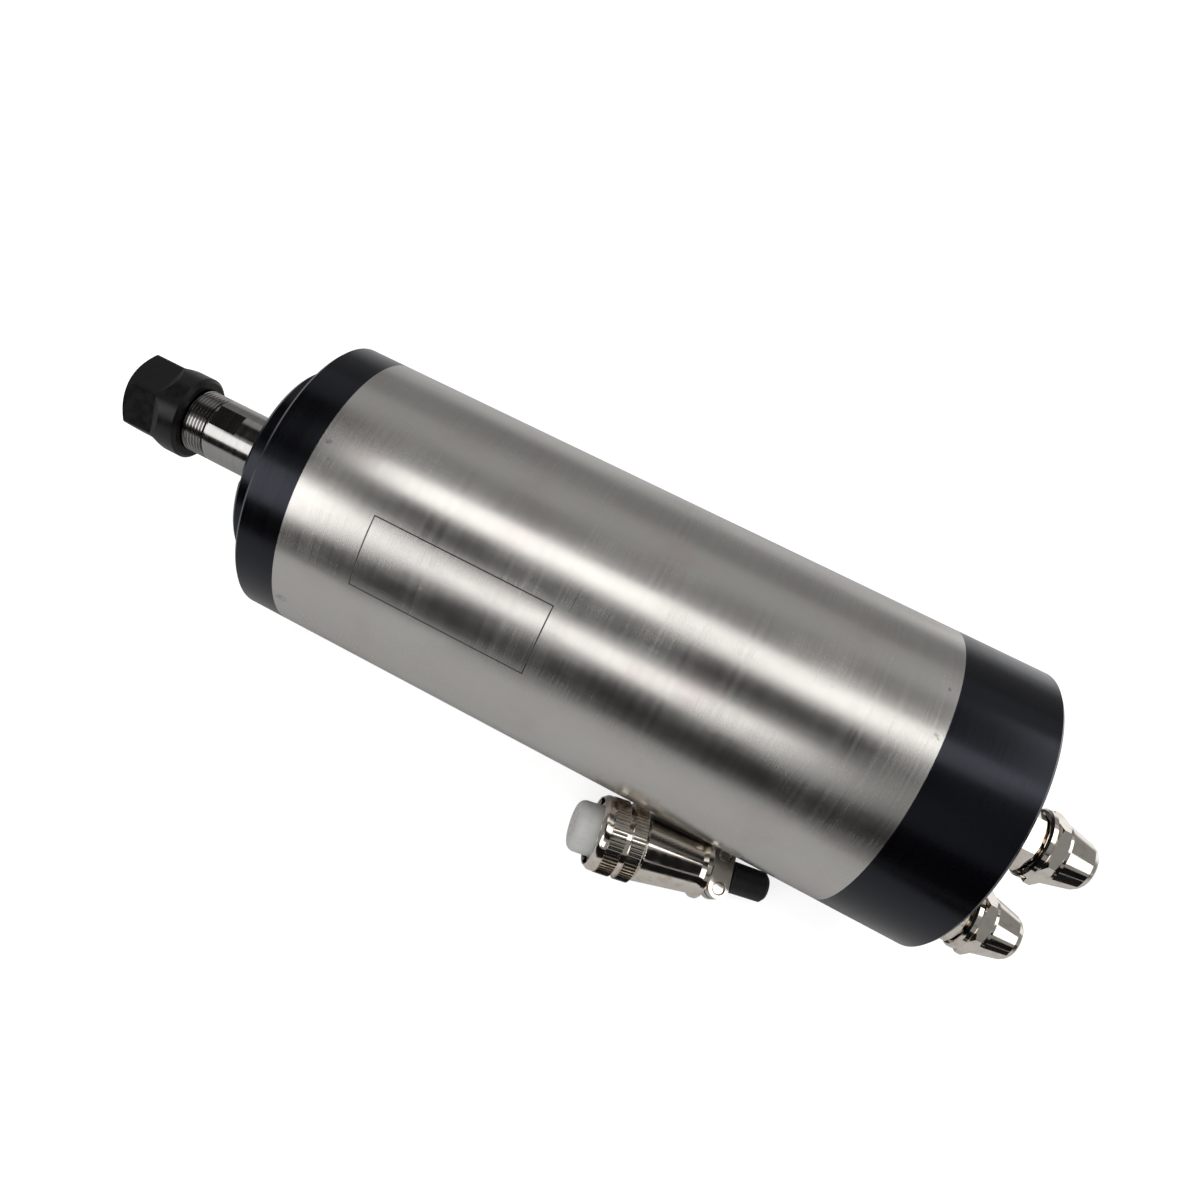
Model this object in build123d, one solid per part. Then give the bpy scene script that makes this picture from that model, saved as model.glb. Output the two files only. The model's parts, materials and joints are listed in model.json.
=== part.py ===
from build123d import *
import os
from math import cos, radians, tan

# Water-cooled motor spindle, lying on a flat surface with its loose cable plug beside it.
# X is the spindle axis (tool end at -X), Z is up, Y = 0 and Z = 0 on the axis.
# The origin is on the axis, half way along the steel tube.  Millimetres.

os.makedirs("parts", exist_ok=True)

# ---------------------------------------------------------------- driving sizes
# Fits
seat_gap = 0.02            # radial gap of a pressed or pushed seat
slide_gap = 0.05           # radial gap of a piece that slides or turns in its guide
running_gap = 0.3          # air gap between a turning and a standing piece
race_gap = 0.06            # ball to raceway and ball to cage pocket
screw_gap = 0.1            # radial gap of a screw in its hole

# Body
body_diameter = 80.0
tube_length = 163.0
tube_wall = 2.5
front_band = 12.0          # length of the black front cap that shows
rear_band = 25.0           # length of the black rear cap that shows
cap_chamfer = 0.8
front_spigot = 21.5        # front cap inside the tube
rear_spigot = 5.0          # rear cap inside the tube
rear_wall = 7.0
rear_cavity_wall = 6.5     # wall of the rear cap's spigot
ring_section = 1.8         # O-ring cross-section
ring_groove_depth = 1.5
ring_groove_width = 2.4
front_seal_setback = 5.0    # ring behind the tube's front end
rear_seal_setback = 3.0     # ring behind the front of the rear bearing seat

# Front cover, the raised disc round the shaft
cover_diameter = 60.0
cover_height = 8.2
cover_edge = 1.0
cover_register = 2.0
cover_screw_circle_radius = 26.8
cover_screw_count = 4
cover_thread_radius = 1.5
cover_head_radius = 2.75
cover_head_height = 3.0
cover_hex_across_flats = 2.5
cover_screw_grip = 9.0     # screw hole in the front cap

# Shaft
nose_diameter = 19.0
nose_reach = 59.7          # from the front cap's face to the collet nut's face
thread_pitch = 1.0
thread_depth = 0.6 * thread_pitch
thread_shows = 7.7         # thread between the nut and the wrench flats
flats_across = 17.8
flats_length = 8.6
flats_turn = 6.0           # from +Z towards -Y
seal_flange_diameter = 30.0
seal_flange_width = 4.6
locknut_diameter = 35.0
locknut_width = 7.0
core_seat_diameter = 24.0
rear_shoulder_diameter = 19.0
shaft_tail = 1.8           # shaft past the rear bearing

# Collet and its nut
collet_length = 27.5
collet_large_diameter = 17.0
collet_taper_angle = 8.0   # half angle of the long taper
collet_nose_angle = 30.0   # half angle of the short front cone
collet_collar_length = 2.6
collet_front_cone = 3.2
collet_groove_width = 2.4
collet_groove_depth = 1.0
collet_bore = 6.0
collet_relief_length = 10.0 # wider stretch of the bore at the collet's rear end
collet_relief_depth = 1.5
collet_relief_run = 0.5    # slope between the bore and its relief
collet_slot = 0.8
collet_slot_count = 6
collet_slot_end = 4.0      # uncut length behind each slot
nut_length = 19.0
nut_diameter = 25.0
nut_across_flats = 22.0
nut_hex_length = 10.5
nut_run_out = 3.0          # length over which the flats fade into the collar
nut_turn = 24.0            # from +Z towards -Y, to a corner of the hexagon
nut_mouth_radius = 6.6
nut_thread_clearance = 0.15
nut_skirt_length = 4.4     # plain skirt behind the nut's thread
shaft_setback = 7.6        # nut's face to shaft's face
taper_gap = 0.03

# Bearings: bore, outside diameter, width, ball diameter, number of balls
front_bearing = (25.0, 47.0, 12.0, 6.35, 15)
front_bearing_count = 2
rear_bearing = (15.0, 32.0, 9.0, 4.76, 11)
spring_height = 1.4
spring_thickness = 0.6

# Motor
stack_setback = 22.0       # iron stacks behind the front cap's spigot
end_turn_room = 6.35       # between the end turns and the rear bearing seat
jacket_wall = 4.5          # jacket with its channels
air_gap_radius = 17.5
slot_count = 24
slot_width = 3.0
slot_mouth = 1.2
slot_inner_radius = 18.7
stator_yoke = 5.6          # iron outside the slots
winding_gap = 0.15
end_turn_length = 15.0
end_turn_setback = 3.5     # end turns inside the stack's outside
bar_count = 18
bar_diameter = 3.0
bar_circle_radius = 14.9
end_ring_length = 5.0

# Water jacket
channel_count = 7
channel_depth = 2.6
channel_rib = 3.5
jacket_end_land = 11.0
divider_width = 7.0
gallery_width = 5.0
port_radius = 1.6

# Rear bearing seat
bearing_seat_thickness = 13.0
spring_pocket_floor = 1.5
gasket_thickness = 1.0

# Water fittings
fitting_inset = 12.0             # fitting's centre inside the body's outside
fitting_turns = (29.0, 88.0)     # from +Z towards -Y
boss_radius = 7.5
boss_seal_radius = 5.0
boss_seal_depth = 1.4
water_bore_radius = 2.4
fitting_thread_radius = 4.9
fitting_thread_length = 9.0
washer_radius = 6.8
washer_thickness = 0.8
base_across_flats = 14.0
base_height = 4.2
base_turn = 14.0
neck_radius = 6.0
neck_length = 5.2
barb_radius = 3.1
barb_length = 5.0
fitting_nut_gap = 0.35           # between the base and the nut
fitting_nut_length = 13.6
fitting_nut_across_flats = 16.0
fitting_nut_ring_length = 2.0
fitting_nut_ring_radius = 8.7
fitting_nut_hex_length = 3.0
fitting_nut_end_radius = 5.6
fitting_nut_nose_round = 1.6
fitting_nut_turn = 20.0
hose_radius = 4.1
ferrule_length = 2.4

# Cap screws of the rear cap
cap_screw_inset = 6.0            # screw's centre inside the body's outside
cap_screw_turns = (60.0, 150.0, 240.0, 330.0)
cap_screw_radius = 2.0
cap_screw_length = 33.0
cap_head_radius = 3.5
cap_head_height = 4.0
cap_hex_across_flats = 3.0

# Panel socket
socket_circle_radius = 18.0
socket_turn = 240.0
socket_radius = 9.4
socket_wall = 1.5
socket_reach = 10.0
socket_flange_radius = 12.0
socket_flange_thickness = 2.2
socket_tail = 4.5                # behind the rear wall
socket_nut_across_flats = 22.0
socket_nut_thickness = 3.0
insulator_thickness = 6.0
pin_circle_radius = 4.2
pin_radius = 0.8
pin_reach = 4.5
pin_recess = 2.0                 # pin tips behind the socket's mouth
pin_tail = 6.0
pin_count = 4

# Loose cable plug, along its own X axis from the middle of the coupling ring
plug_place = (29.6, -44.2, -28.33)
plug_yaw = 11.6
plug_pitch = 5.7
plug_roll = 8.0
ring_radius = 11.0
ring_length = 13.1
ring_rim_length = 3.2
ring_rim_radius = 9.9
ring_band_length = 4.2
ring_groove = 1.6
ring_groove_drop = 0.9
ring_thread_radius = 9.6
ring_lip_length = 2.4
sleeve_radius = 8.7
sleeve_wall = 0.8
sleeve_front = -5.3
collar_length = 1.8
shell_length = 20.2
shell_front_radius = 9.9
shell_rear_radius = 8.2
shell_lip_radius = 9.0
shell_lip_length = 1.8
shell_wall = 1.2
shell_rear_wall = 1.5
tail_length = 7.6
tail_radius = 5.4
clamp_width = 5.8
clamp_top = 3.7                  # flat top of the clamp above the plug's axis
clamp_screw_offset = 4.7
clamp_screw_radius = 1.1
clamp_head_radius = 1.8
clamp_head_height = 1.2
clamp_head_recess = 1.6          # under-head face below the clamp's top
clamp_split = 0.4                # half gap between the clamp and the tail
clamp_lug_depth = 4.0
clamp_setback = 1.4              # clamp behind the shell
boot_length = 20.0
boot_neck_radius = 3.2           # where the clamp grips it
boot_radius = 4.5
boot_end_radius = 4.3
boot_bore_radius = 2.5
insert_thickness = 7.5
contact_radius = 1.5
cap_radius = 7.4
cap_reach = 6.2                  # dust cap past the coupling ring
cap_skirt = 2.4
cap_wall = 1.2
cap_end_round = 2.4

# ---------------------------------------------------------------- derived sizes
body_radius = body_diameter / 2
tube_bore_radius = body_radius - tube_wall
spigot_radius = tube_bore_radius - seat_gap
tube_front = -tube_length / 2
tube_rear = tube_length / 2
cap_front = tube_front - front_band
cap_rear = tube_rear + rear_band
cover_front = cap_front - cover_height
nut_front = cap_front - nose_reach
nut_rear = nut_front + nut_length
shaft_front = nut_front + shaft_setback
nose_radius = nose_diameter / 2
thread_root_radius = nose_radius - thread_depth
thread_rear = nut_rear + thread_shows
flats_rear = thread_rear + flats_length
front_bearings_front = cap_front + cover_register
front_bearings_rear = front_bearings_front + front_bearing_count * front_bearing[2]
seat_rear = tube_rear - rear_spigot
seat_front = seat_rear - bearing_seat_thickness
stack_front = tube_front + front_spigot + stack_setback
stack_rear = seat_front - end_turn_room - end_turn_length - winding_gap
stator_radius = tube_bore_radius - jacket_wall
slot_outer_radius = stator_radius - stator_yoke
end_turn_outer_radius = stator_radius - end_turn_setback
rear_cavity_radius = tube_bore_radius - rear_cavity_wall
fitting_circle_radius = body_radius - fitting_inset
cap_screw_circle_radius = body_radius - cap_screw_inset
jacket_front = tube_front + front_spigot + seat_gap
jacket_rear = seat_front - gasket_thickness - seat_gap
jacket_inner_radius = stator_radius + seat_gap
jacket_port_radius = (jacket_inner_radius + spigot_radius) / 2
front_seal_at = tube_front + front_seal_setback
rear_seal_at = seat_front + rear_seal_setback
jacket_seal_at = jacket_front + jacket_end_land / 2
rear_bearing_rear = seat_rear - spring_pocket_floor - spring_height
rear_bearing_front = rear_bearing_rear - rear_bearing[2]
cap_inside = cap_rear - rear_wall
ring_front = -ring_length / 2
ring_rear = ring_length / 2
shell_rear = ring_rear + shell_length
sleeve_collar_rear = ring_rear - ring_lip_length - slide_gap
boot_hole_radius = boot_neck_radius + slide_gap


# ---------------------------------------------------------------- helpers
def turned(*outline):
    """Solid of revolution about X from the (x, radius) corners of its half section."""
    return revolve(make_face(Polyline(*outline, close=True)), Axis.X, 360)


def rod(radius, start, end):
    """Round bar along X."""
    return extrude(Plane.YZ.offset(start) * Circle(radius), end - start)


def sleeve(outer, inner, start, end):
    """Round tube along X."""
    return rod(outer, start, end) - rod(inner, start, end)


def hexagon(across_flats, start, end, turn=0.0):
    """Hexagonal bar along X with a corner turned from +Z towards -Y."""
    profile = Rot(0, 0, 90 + turn) * RegularPolygon(across_flats / 2, 6, major_radius=False)
    return extrude(Plane.YZ.offset(start) * profile, end - start)


def torus(ring_radius, section_radius, at):
    """Ring of round section about X."""
    return Pos(at, 0, 0) * Solid.make_torus(ring_radius, section_radius, Plane.YZ)


def block(x0, x1, y0, y1, z0, z1):
    """Box between two corners."""
    size = (x1 - x0, y1 - y0, z1 - z0)
    middle = ((x0 + x1) / 2, (y0 + y1) / 2, (z0 + z1) / 2)
    return Pos(*middle) * Box(*size)


def on_circle(radius, turn):
    """Place at a distance from the axis, turned from +Z towards -Y."""
    return Rot(turn, 0, 0) * Pos(0, 0, radius)


def ring_of(piece, radius, count, first=0.0):
    """Equal copies round the X axis."""
    return [on_circle(radius, first + 360 / count * k) * piece for k in range(count)]


def group(pieces):
    """Separate solids that share one node."""
    return Compound(children=[Compound(p.wrapped) if not isinstance(p, Compound) else p for p in pieces])


def seal_groove(outside_radius, at):
    """Rectangular O-ring groove in an outside wall, as a cutter."""
    half = ring_groove_width / 2
    return sleeve(outside_radius + 1, outside_radius - ring_groove_depth, at - half, at + half)


def seal_ring(outside_radius, at):
    """O-ring seated in seal_groove, squeezed to the bore round it."""
    floor = outside_radius - ring_groove_depth + seat_gap
    roof = outside_radius
    half = min(ring_section, ring_groove_width - 2 * seat_gap) / 2
    corner = 0.3 * (roof - floor)
    section = make_face(
        Polyline((at - half, floor), (at + half, floor), (at + half, roof), (at - half, roof), close=True)
    )
    section = fillet(section.vertices(), corner)
    return revolve(section, Axis.X, 360)


def cap_screw(shank_radius, head_radius, head_height, key_across_flats, length):
    """Socket-head screw along X: head towards +X, under-head plane at x = 0."""
    screw = rod(head_radius, 0, head_height) + rod(shank_radius, -length, 0)
    screw -= hexagon(key_across_flats, head_height * 0.4, head_height + 1)
    rim = screw.edges().filter_by(GeomType.CIRCLE).group_by(Axis.X)[-1].sort_by(SortBy.RADIUS)[-1]
    return chamfer(rim, head_height * 0.08)


def bearing_parts(bearing, start):
    """Inner ring, outer ring, balls and cage of a ball bearing whose front face is at start."""
    bore, outside, width, ball, count = bearing
    pitch_radius = (bore + outside) / 4
    middle = start + width / 2
    shoulder = 0.28 * ball
    race = torus(pitch_radius, ball / 2 + race_gap, middle)
    edge = 0.5
    inner_low, inner_high = bore / 2 + seat_gap, pitch_radius - shoulder
    outer_low, outer_high = pitch_radius + shoulder, outside / 2 - seat_gap
    end = start + width
    inner = turned(
        (start, inner_low + edge), (start + edge, inner_low),
        (end - edge, inner_low), (end, inner_low + edge),
        (end, inner_high), (start, inner_high),
    ) - race
    outer = turned(
        (start, outer_low), (end, outer_low), (end, outer_high - edge), (end - edge, outer_high),
        (start + edge, outer_high), (start, outer_high - edge),
    ) - race
    ball_set = ring_of(Pos(middle, 0, 0) * Sphere(ball / 2), pitch_radius, count)
    cage_half_width = ball * 0.66
    cage_half_height = ball * 0.17
    cage = sleeve(
        pitch_radius + cage_half_height, pitch_radius - cage_half_height,
        middle - cage_half_width, middle + cage_half_width,
    )
    for pocket in ring_of(Pos(middle, 0, 0) * Sphere(ball / 2 + race_gap), pitch_radius, count):
        cage -= pocket
    return inner, outer, ball_set, cage


# ---------------------------------------------------------------- housing
def outer_tube():
    return sleeve(body_radius, tube_bore_radius, tube_front, tube_rear)


def front_cap():
    bearing_seat = front_bearing[1] / 2
    shoulder_radius = bearing_seat - 3.5
    spigot_end = tube_front + front_spigot
    body = turned(
        (cap_front, bearing_seat), (cap_front, body_radius - cap_chamfer),
        (cap_front + cap_chamfer, body_radius), (tube_front, body_radius),
        (tube_front, spigot_radius), (spigot_end - 0.6, spigot_radius), (spigot_end, spigot_radius - 0.6),
        (spigot_end, shoulder_radius), (front_bearings_rear, shoulder_radius),
        (front_bearings_rear, bearing_seat),
    )
    body -= seal_groove(spigot_radius, front_seal_at)
    hole = rod(cover_thread_radius + screw_gap, cap_front - 1, cap_front + cover_screw_grip)
    for cut in ring_of(hole, cover_screw_circle_radius, cover_screw_count, 45):
        body -= cut
    return body


def front_cover():
    register_radius = front_bearing[1] / 2 - seat_gap
    shaft_hole = nose_radius + running_gap
    flange_room = seal_flange_diameter / 2 + running_gap
    room_front = front_bearings_front - seal_flange_width - running_gap
    outer = cover_diameter / 2
    disc = turned(
        (cover_front, shaft_hole + 0.8), (cover_front, outer - cover_edge),
        (cover_front + cover_edge, outer), (cap_front, outer), (cap_front, register_radius),
        (front_bearings_front, register_radius), (front_bearings_front, flange_room),
        (room_front, flange_room), (room_front, shaft_hole), (cover_front + 0.8, shaft_hole),
    )
    head_room = rod(cover_head_radius + screw_gap, cover_front - 1, cover_front + cover_head_height + 0.4)
    shank_room = rod(cover_thread_radius + screw_gap, cover_front, cap_front)
    for cut in ring_of(head_room + shank_room, cover_screw_circle_radius, cover_screw_count, 45):
        disc -= cut
    return disc


def cover_screws():
    under_head = cover_front + cover_head_height + 0.4
    grip = cap_front + cover_screw_grip - 0.5 - under_head
    screw = cap_screw(cover_thread_radius, cover_head_radius, cover_head_height, cover_hex_across_flats, grip)
    screw = Pos(under_head, 0, 0) * Rot(0, 0, 180) * screw
    return group(ring_of(screw, cover_screw_circle_radius, cover_screw_count, 45))


def rear_bearing_seat():
    pocket_radius = rear_bearing[1] / 2
    hole_radius = rear_bearing[0] / 2 + 4.0
    body = turned(
        (seat_front, pocket_radius), (seat_front, spigot_radius), (seat_rear, spigot_radius),
        (seat_rear, hole_radius), (seat_rear - spring_pocket_floor, hole_radius),
        (seat_rear - spring_pocket_floor, pocket_radius),
    )
    body -= seal_groove(spigot_radius, rear_seal_at)
    for turn in fitting_turns:
        body -= water_passage(turn)
    hole = rod(cap_screw_radius + screw_gap, cap_screw_tip() - 1, seat_rear + 1)
    for turn in cap_screw_turns:
        body -= on_circle(cap_screw_circle_radius, turn) * hole
    return body


def cap_screw_tip():
    return cap_rear - cap_head_height - 0.4 - cap_screw_length


def water_passage(turn):
    """Slanted drilling from a fitting's boss to the jacket's port."""
    start = Vector(seat_front - 1, 0, jacket_port_radius)
    end = Vector(seat_rear + 1, 0, fitting_circle_radius)
    direction = end - start
    drill = extrude(Plane(start, z_dir=direction) * Circle(port_radius), direction.length)
    return Rot(turn, 0, 0) * drill


def rear_cap():
    spigot_start = tube_rear - rear_spigot
    shell = turned(
        (spigot_start, rear_cavity_radius), (spigot_start, spigot_radius), (tube_rear, spigot_radius),
        (tube_rear, body_radius), (cap_rear - cap_chamfer, body_radius),
        (cap_rear, body_radius - cap_chamfer),
        (cap_rear, 0), (cap_inside, 0), (cap_inside, rear_cavity_radius),
    )
    for turn in fitting_turns:
        boss = rod(boss_radius, spigot_start, cap_inside)
        shell += on_circle(fitting_circle_radius, turn) * boss
    outside = rod(spigot_radius, spigot_start - 1, tube_rear) + rod(body_radius, tube_rear, cap_rear)
    shell = shell & outside
    for turn in fitting_turns:
        channel = rod(water_bore_radius, spigot_start - 1, cap_rear)
        channel += rod(fitting_thread_radius, cap_rear - fitting_thread_length - 1, cap_rear + 1)
        channel += rod(boss_seal_radius, spigot_start - 1, spigot_start + boss_seal_depth)
        shell -= on_circle(fitting_circle_radius, turn) * channel
    screw_room = rod(cap_screw_radius + screw_gap, spigot_start - 1, cap_rear)
    screw_room += rod(cap_head_radius + screw_gap, cap_rear - cap_head_height - 0.4, cap_rear + 1)
    for turn in cap_screw_turns:
        shell -= on_circle(cap_screw_circle_radius, turn) * screw_room
    socket_hole = rod(socket_radius + screw_gap, cap_inside - 1, cap_rear + 1)
    shell -= on_circle(socket_circle_radius, socket_turn) * socket_hole
    return shell


def rear_cap_screws():
    under_head = cap_rear - cap_head_height - 0.4
    screw = cap_screw(
        cap_screw_radius, cap_head_radius, cap_head_height, cap_hex_across_flats, cap_screw_length
    )
    screw = Pos(under_head, 0, 0) * screw
    return group([on_circle(cap_screw_circle_radius, turn) * screw for turn in cap_screw_turns])


def boss_o_rings():
    """Face seals where the water crosses from the bearing seat into the rear cap."""
    start = tube_rear - rear_spigot
    section = make_face(
        Polyline(
            (start + seat_gap, water_bore_radius + 0.6),
            (start + boss_seal_depth - seat_gap, water_bore_radius + 0.6),
            (start + boss_seal_depth - seat_gap, boss_seal_radius - seat_gap),
            (start + seat_gap, boss_seal_radius - seat_gap), close=True,
        )
    )
    ring = revolve(fillet(section.vertices(), boss_seal_depth * 0.4), Axis.X, 360)
    return group([on_circle(fitting_circle_radius, turn) * ring for turn in fitting_turns])


def housing_o_rings():
    return group([seal_ring(spigot_radius, at) for at in (front_seal_at, rear_seal_at, jacket_seal_at)])


# ---------------------------------------------------------------- water jacket
def water_jacket():
    body = sleeve(spigot_radius, jacket_inner_radius, jacket_front, jacket_rear)
    wet_front = jacket_front + jacket_end_land
    wet_rear = jacket_rear - jacket_end_land
    channel_width = (wet_rear - wet_front - (channel_count - 1) * channel_rib) / channel_count
    floor = spigot_radius - channel_depth
    middle_turn = sum(fitting_turns) / 2
    divider = Rot(middle_turn, 0, 0) * block(
        wet_front, wet_rear, -divider_width / 2, divider_width / 2, jacket_inner_radius - 2, body_radius
    )
    for k in range(channel_count):
        start = wet_front + k * (channel_width + channel_rib)
        body -= sleeve(body_radius, floor, start, start + channel_width) - divider
    for turn in fitting_turns:
        gallery = block(
            wet_front, wet_rear, -gallery_width / 2, gallery_width / 2, floor, body_radius
        )
        port = Pos(0, 0, jacket_port_radius) * rod(port_radius, wet_rear - 1, jacket_rear + 1)
        body -= Rot(turn, 0, 0) * gallery
        body -= Rot(turn, 0, 0) * port
    return body - seal_groove(spigot_radius, jacket_seal_at)


def jacket_gasket():
    """Flat gasket between the jacket and the bearing seat, open at both water ports."""
    gasket = sleeve(spigot_radius - 0.3, jacket_inner_radius, jacket_rear + seat_gap, seat_front - seat_gap)
    for turn in fitting_turns:
        port = rod(port_radius + 0.1, jacket_rear - 1, seat_front + 1)
        gasket -= on_circle(jacket_port_radius, turn) * port
    return gasket


# ---------------------------------------------------------------- motor
def stator_core():
    core = sleeve(stator_radius, air_gap_radius, stack_front, stack_rear)
    half = slot_width / 2
    mouth = slot_mouth / 2
    slot = block(stack_front - 1, stack_rear + 1, -half, half, slot_inner_radius, slot_outer_radius)
    slot += block(stack_front - 1, stack_rear + 1, -mouth, mouth, air_gap_radius - 1, slot_inner_radius)
    for cut in ring_of(slot, 0, slot_count):
        core -= cut
    return core


def stator_windings():
    half = slot_width / 2 - winding_gap
    low = slot_inner_radius + winding_gap
    high = slot_outer_radius - winding_gap
    inset = winding_gap
    turns = []
    for start, end in ((stack_front - inset - end_turn_length, stack_front - inset),
                       (stack_rear + inset, stack_rear + inset + end_turn_length)):
        section = make_face(
            Polyline(
                (start, low), (end, low), (end, end_turn_outer_radius), (start, end_turn_outer_radius), close=True
            )
        )
        turns.append(revolve(fillet(section.vertices(), 3.0), Axis.X, 360))
    coil = turns[0] + turns[1]
    overlap = end_turn_length / 2
    bar = block(stack_front - overlap, stack_rear + overlap, -half, half, low, high)
    for piece in ring_of(bar, 0, slot_count):
        coil += piece
    return coil


def rotor_core():
    core = sleeve(air_gap_radius - running_gap, core_seat_diameter / 2 + seat_gap, stack_front, stack_rear)
    hole = rod(bar_diameter / 2 + seat_gap, stack_front - 1, stack_rear + 1)
    for cut in ring_of(hole, bar_circle_radius, bar_count):
        core -= cut
    return core


def rotor_cage():
    outer = bar_circle_radius + bar_diameter / 2 + 0.3
    inner = bar_circle_radius - bar_diameter / 2 - 0.6
    cage = sleeve(outer, inner, stack_front - end_ring_length, stack_front - seat_gap)
    cage += sleeve(outer, inner, stack_rear + seat_gap, stack_rear + end_ring_length)
    bar = rod(bar_diameter / 2, stack_front - 1, stack_rear + 1)
    for piece in ring_of(bar, bar_circle_radius, bar_count):
        cage += piece
    return cage


# ---------------------------------------------------------------- shaft
def taper_radius(at):
    """Radius of the collet's long taper at a place on the axis."""
    taper_front = nut_front + collet_front_cone + collet_collar_length + collet_groove_width
    large = collet_large_diameter / 2
    return large - (at - taper_front) * tan(radians(collet_taper_angle))


def spindle_shaft():
    socket_rear = nut_front + collet_length + 1.0
    relief_rear = socket_rear + 6.0
    seal_front = front_bearings_front - seal_flange_width
    seal_radius = seal_flange_diameter / 2
    seat = front_bearing[0] / 2
    nut_end = front_bearings_rear + locknut_width + 3.0
    core_seat = core_seat_diameter / 2
    shoulder = rear_shoulder_diameter / 2
    rear_seat = rear_bearing[0] / 2
    core_end = stack_rear + end_ring_length + 2.0
    shaft_end = rear_bearing_rear + shaft_tail
    socket_gap = taper_gap / cos(radians(collet_taper_angle))
    mouth = taper_radius(shaft_front) + socket_gap
    throat = taper_radius(socket_rear) + socket_gap
    body = turned(
        (shaft_front, mouth + 0.2), (shaft_front, thread_root_radius - 0.2),
        (shaft_front + 0.4, thread_root_radius),
        (thread_rear, thread_root_radius), (thread_rear, nose_radius), (seal_front, nose_radius),
        (seal_front, seal_radius), (front_bearings_front, seal_radius), (front_bearings_front, seat),
        (nut_end, seat), (nut_end, core_seat), (core_end, core_seat), (core_end, shoulder),
        (rear_bearing_front, shoulder), (rear_bearing_front, rear_seat), (shaft_end - 0.5, rear_seat),
        (shaft_end, rear_seat - 0.5), (shaft_end, 0), (relief_rear + 1.5, 0), (relief_rear, throat - 0.6),
        (socket_rear, throat - 0.6), (socket_rear, throat), (shaft_front + 0.2, mouth),
    )
    flat_drop = nose_radius - flats_across / 2
    cutter = block(
        thread_rear, flats_rear, -nose_radius, nose_radius, flats_across / 2, nose_radius + flat_drop + 1
    )
    for turn in (flats_turn, flats_turn + 180):
        body -= Rot(turn, 0, 0) * cutter
    return body


def bearing_locknut():
    start = front_bearings_rear + seat_gap
    ring = sleeve(locknut_diameter / 2, front_bearing[0] / 2 + seat_gap, start, start + locknut_width)
    notch = block(start - 1, start + locknut_width + 1, -2.5, 2.5, locknut_diameter / 2 - 2, locknut_diameter)
    for cut in ring_of(notch, 0, 4):
        ring -= cut
    return ring


def rear_circlip():
    start = rear_bearing_rear + seat_gap
    inner = rear_bearing[0] / 2 + seat_gap
    clip = sleeve(inner + 2.2, inner, start, start + 1.0)
    return clip - block(start - 1, start + 2, -3.0, 3.0, 0, inner + 5)


def preload_spring():
    low = rear_bearing[1] / 2 - 5.0
    high = rear_bearing[1] / 2 - 0.4
    start = rear_bearing_rear + seat_gap
    end = start + spring_height - 2 * seat_gap
    return turned(
        (end - spring_thickness, low), (end, low), (start + spring_thickness, high), (start, high)
    )


# ---------------------------------------------------------------- collet and nut
def collet():
    large = collet_large_diameter / 2
    cone_rear = nut_front + collet_front_cone
    collar_rear = cone_rear + collet_collar_length
    groove_rear = collar_rear + collet_groove_width
    rear = nut_front + collet_length
    front = nut_front + 0.4
    front_radius = large - (cone_rear - front) * tan(radians(collet_nose_angle))
    groove_radius = large - collet_groove_depth
    relief_radius = collet_bore / 2 + collet_relief_depth
    relief_front = rear - collet_relief_length
    body = turned(
        (front, collet_bore / 2), (front, front_radius), (cone_rear, large), (collar_rear, large),
        (collar_rear, groove_radius), (groove_rear, groove_radius), (groove_rear, large),
        (rear, taper_radius(rear)), (rear, relief_radius), (relief_front, relief_radius),
        (relief_front - collet_relief_run, collet_bore / 2),
    )
    half = collet_slot / 2
    for k in range(collet_slot_count):
        turn = 360 / collet_slot_count * k
        from_front = block(front - 1, rear - collet_slot_end, -half, half, 0.5, large + 1)
        from_rear = block(front + collet_slot_end + 1, rear + 1, -half, half, 0.5, large + 1)
        body -= Rot(turn, 0, 0) * from_front
        body -= Rot(turn + 180 / collet_slot_count, 0, 0) * from_rear
    return body


def collet_nut():
    blank_radius = nut_diameter / 2
    large = collet_large_diameter / 2
    cone_rear = nut_front + collet_front_cone
    collar_rear = cone_rear + collet_collar_length
    lip_front = collar_rear + 0.3
    lip_rear = lip_front + collet_groove_width - 0.8
    lip_radius = large - collet_groove_depth + running_gap
    cone_slope = tan(radians(collet_nose_angle))
    mouth_x = cone_rear - (large + slide_gap - nut_mouth_radius) / cone_slope
    thread_front = shaft_front - 0.6
    thread_end = nut_rear - nut_skirt_length
    thread_bore = thread_root_radius + nut_thread_clearance
    skirt = nose_radius + 0.12
    body = turned(
        (nut_front, nut_mouth_radius), (nut_front, blank_radius - 1.6), (nut_front + 1.0, blank_radius),
        (nut_rear - 1.0, blank_radius), (nut_rear, blank_radius - 1.0), (nut_rear, skirt),
        (thread_end, skirt), (thread_end, thread_bore), (thread_front, thread_bore),
        (thread_front, large + 0.4), (lip_rear, large + 0.4),
        (lip_rear, lip_radius), (lip_front, lip_radius),
        (lip_front, large + slide_gap), (cone_rear, large + slide_gap), (mouth_x, nut_mouth_radius),
    )
    for flat in nut_flat_cutters():
        body -= flat
    return body


def nut_flat_cutters():
    """Cutters for six milled flats that fade into the round collar behind them."""
    blank_radius = nut_diameter / 2
    flat = nut_across_flats / 2
    depth = blank_radius - flat
    flats_end = nut_front + nut_hex_length
    outline = Polyline(
        (nut_front - 1, flat), (flats_end, flat), (flats_end + nut_run_out, flat + depth + 0.2),
        (flats_end + nut_run_out, blank_radius + 3), (nut_front - 1, blank_radius + 3), close=True,
    )
    side = extrude(Plane.XZ * make_face(outline), blank_radius, both=True)
    return [Rot(nut_turn + 30 + 60 * k, 0, 0) * side for k in range(6)]


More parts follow.
